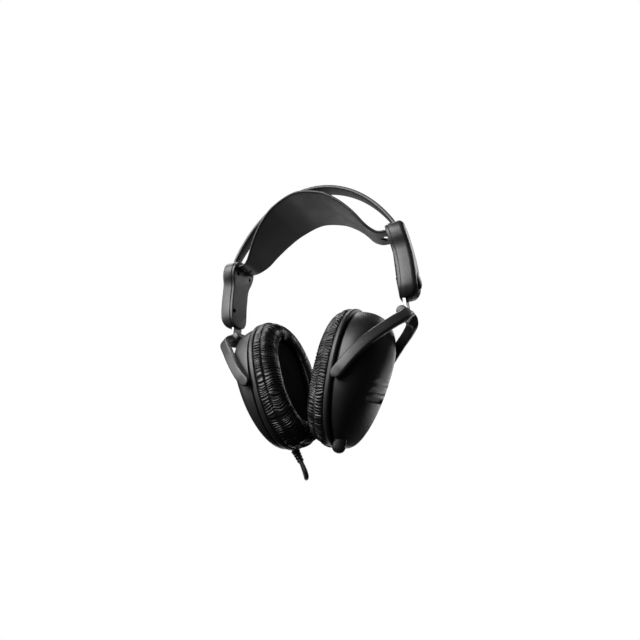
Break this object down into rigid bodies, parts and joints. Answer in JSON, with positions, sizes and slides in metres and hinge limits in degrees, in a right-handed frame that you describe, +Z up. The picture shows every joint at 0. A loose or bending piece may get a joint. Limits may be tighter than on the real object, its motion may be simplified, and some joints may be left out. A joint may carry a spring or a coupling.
{
  "type": "over ear headphones",
  "caption": "Corded over-ear headset: bowed headband with an inner strap, sliding yokes, tilting oval cups with pleated cushions and a pull-out microphone.",
  "frame": {"origin": "the crown of the wearer's head, just under the head strap at its middle", "axes": "+Z up away from the head, +X towards the right cup (the side seen at the right from the front of the picture), +Y towards the back as pictured"},
  "size_m": [0.1914, 0.1322, 0.2655],
  "materials": {
    "band_plastic": "satin moulded, fine grain",
    "strap_leather": "soft leather-like sheet, light edge",
    "housing_plastic": "satin moulded",
    "screw_steel": "blackened steel",
    "strip_steel": "bright rolled spring steel",
    "yoke_plastic": "satin moulded",
    "shell_plastic": "satin moulded, fine grain",
    "rim_plastic": "satin moulded",
    "baffle_plastic": "plain moulded, out of sight",
    "driver_metal": "dark painted frame",
    "diaphragm_film": "thin drawn film",
    "ear_cloth": "thin open weave over foam",
    "cushion_leather": "glossy artificial leather, pleated",
    "microphone_plastic": "satin moulded",
    "boom_rubber": "soft moulded over a wire core",
    "cord_rubber": "soft extruded jacket",
    "tie_cloth": "woven hook and loop band",
    "plug_metal": "plated contacts and a black moulded grip"
  },
  "bodies": {
    "frame": {"bow_left": "band_plastic", "bow_right": "band_plastic", "bow_joiner": "band_plastic", "head_strap": "strap_leather", "left_housing": "housing_plastic", "left_housing_cover": "housing_plastic", "left_detent_cap": "housing_plastic", "left_cover_screw_1": "screw_steel", "left_cover_screw_2": "screw_steel", "left_cover_screw_3": "screw_steel", "left_cover_screw_4": "screw_steel", "right_housing": "housing_plastic", "right_housing_cover": "housing_plastic", "right_detent_cap": "housing_plastic", "right_cover_screw_1": "screw_steel", "right_cover_screw_2": "screw_steel", "right_cover_screw_3": "screw_steel", "right_cover_screw_4": "screw_steel"},
    "left_slider": {"left_slider_strip": "strip_steel", "left_yoke": "yoke_plastic", "left_front_pivot_pin": "screw_steel", "left_rear_pivot_pin": "screw_steel", "cord_hank": "cord_rubber", "cord_tie": "tie_cloth", "plug": "plug_metal"},
    "left_cup": {"left_cup_shell": "shell_plastic", "left_cup_rim": "rim_plastic", "left_baffle": "baffle_plastic", "left_driver": "driver_metal", "left_diaphragm": "diaphragm_film", "left_ear_cloth": "ear_cloth", "left_ear_cushion": "cushion_leather", "strain_relief": "cord_rubber", "cord_lead": "cord_rubber"},
    "right_slider": {"right_slider_strip": "strip_steel", "right_yoke": "yoke_plastic", "right_front_pivot_pin": "screw_steel", "right_rear_pivot_pin": "screw_steel"},
    "right_cup": {"right_cup_shell": "shell_plastic", "right_cup_rim": "rim_plastic", "right_baffle": "baffle_plastic", "right_driver": "driver_metal", "right_diaphragm": "diaphragm_film", "right_ear_cloth": "ear_cloth", "right_ear_cushion": "cushion_leather"},
    "microphone": {"microphone_capsule": "microphone_plastic", "microphone_boom": "boom_rubber"}
  },
  "joints": [
    {"name": "left_slide", "type": "slide", "parent": "frame", "child": "left_slider", "axis": [-0.0628, 0, -0.998], "range_m": [0, 0.03]},
    {"name": "right_slide", "type": "slide", "parent": "frame", "child": "right_slider", "axis": [0.0628, 0, -0.998], "range_m": [0, 0.03]},
    {"name": "left_tilt", "type": "hinge", "parent": "left_slider", "child": "left_cup", "pos_m": [-0.03806, 0, -0.16358], "axis": [0, 1, 0], "range_deg": [0, 24], "deforming": ["cord_lead"]},
    {"name": "right_tilt", "type": "hinge", "parent": "right_slider", "child": "right_cup", "pos_m": [0.03806, 0, -0.16358], "axis": [0, -1, 0], "range_deg": [0, 24]},
    {"name": "mic_slide", "type": "slide", "parent": "right_cup", "child": "microphone", "axis": [-0.225, 0, -0.9744], "range_m": [0, 0.055]}
  ]
}
